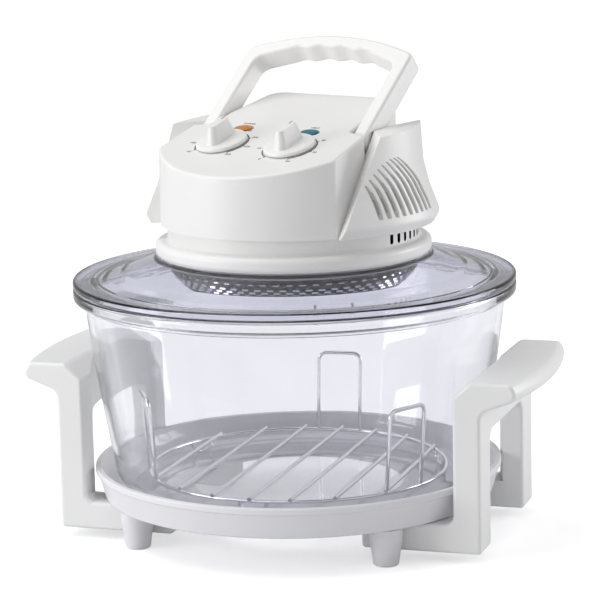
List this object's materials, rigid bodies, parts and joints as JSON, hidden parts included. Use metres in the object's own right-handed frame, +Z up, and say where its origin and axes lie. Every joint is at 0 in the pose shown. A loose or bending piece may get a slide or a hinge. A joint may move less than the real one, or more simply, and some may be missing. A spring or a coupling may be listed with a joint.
{
  "type": "halogen oven",
  "caption": "Glass bowl oven on a legged ring stand with side handles; a lift-off glass lid carries the heating head with fan, dials and a folding carry handle.",
  "frame": {"origin": "under the bowl's axis, on the surface that the feet stand on", "axes": "+Z up, -Y towards the front of the stand, the side handles at -X and +X"},
  "size_m": [0.388, 0.326, 0.3589],
  "materials": {
    "white_plastic": "gloss",
    "clear_glass": "clear",
    "chromed_wire": "polished",
    "sheet_metal": "satin",
    "seal_rubber": "matt",
    "lamp_quartz": "clear",
    "ceramic": "matt ceramic",
    "motor_steel": "satin",
    "bush_bronze": "satin",
    "control_plastic": "matt",
    "amber_lens": "gloss",
    "teal_lens": "gloss"
  },
  "bodies": {
    "stand": {"stand_ring": "white_plastic", "foot_front_left": "white_plastic", "foot_front_right": "white_plastic", "foot_rear_left": "white_plastic", "foot_rear_right": "white_plastic", "side_handle_left": "white_plastic", "side_handle_right": "white_plastic"},
    "bowl": {"glass_bowl": "clear_glass"},
    "rack": {"wire_rack": "chromed_wire"},
    "lid": {"glass_lid": "clear_glass", "lid_seal_upper": "seal_rubber", "lid_seal_lower": "seal_rubber", "head_lower_cover": "white_plastic", "head_housing": "white_plastic", "reflector": "sheet_metal", "fan_guard": "sheet_metal", "guard_post_1": "sheet_metal", "guard_post_2": "sheet_metal", "guard_post_3": "sheet_metal", "halogen_lamp": "lamp_quartz", "lamp_holder_1": "ceramic", "lamp_holder_2": "ceramic", "motor_frame": "motor_steel", "motor_bush_lower": "bush_bronze", "motor_bush_upper": "bush_bronze", "timer_body": "control_plastic", "thermostat_body": "control_plastic", "power_lens": "amber_lens", "heat_lens": "teal_lens", "handle_pin_left": "motor_steel", "handle_pin_right": "motor_steel", "safety_switch": "control_plastic", "cord_gland": "control_plastic"},
    "rotor": {"motor_shaft": "motor_steel", "cooling_fan": "sheet_metal", "hot_air_fan": "sheet_metal"},
    "timer": {"timer_knob": "white_plastic"},
    "thermostat": {"thermostat_knob": "white_plastic"},
    "handle": {"carry_handle": "white_plastic"},
    "plunger": {"switch_plunger": "ceramic"}
  },
  "joints": [
    {"name": "bowl_lift", "type": "slide", "parent": "stand", "child": "bowl", "axis": [0, 0, 1], "range_m": [0, 0.06]},
    {"name": "rack_lift", "type": "slide", "parent": "bowl", "child": "rack", "axis": [0, 0, 1], "range_m": [0, 0.065]},
    {"name": "lid_lift", "type": "slide", "parent": "bowl", "child": "lid", "axis": [0, 0, 1], "range_m": [0, 0.1]},
    {"name": "handle_fold", "type": "hinge", "parent": "lid", "child": "handle", "pos_m": [-0.00088, -0.00287, 0.293], "axis": [-0.9563, 0.2924, 0], "range_deg": [-50, 40]},
    {"name": "switch_press", "type": "slide", "parent": "lid", "child": "plunger", "axis": [0, 0, -1], "range_m": [-0.00226, 0.00181]},
    {"name": "timer_turn", "type": "hinge", "parent": "lid", "child": "timer", "pos_m": [0.01574, -0.05113, 0.2896], "axis": [-0.0855, -0.2796, 0.9563], "range_deg": [-300, 0]},
    {"name": "thermostat_turn", "type": "hinge", "parent": "lid", "child": "thermostat", "pos_m": [-0.04164, -0.03359, 0.2896], "axis": [-0.0855, -0.2796, 0.9563], "range_deg": [-270, 0]},
    {"name": "fan_spin", "type": "hinge", "parent": "lid", "child": "rotor", "pos_m": [0, 0, 0.225], "axis": [0, 0, 1], "continuous": true}
  ],
  "couplings": [
    {"joint": "switch_press", "follows": "handle_fold", "m_per_rad": 0.002578}
  ]
}
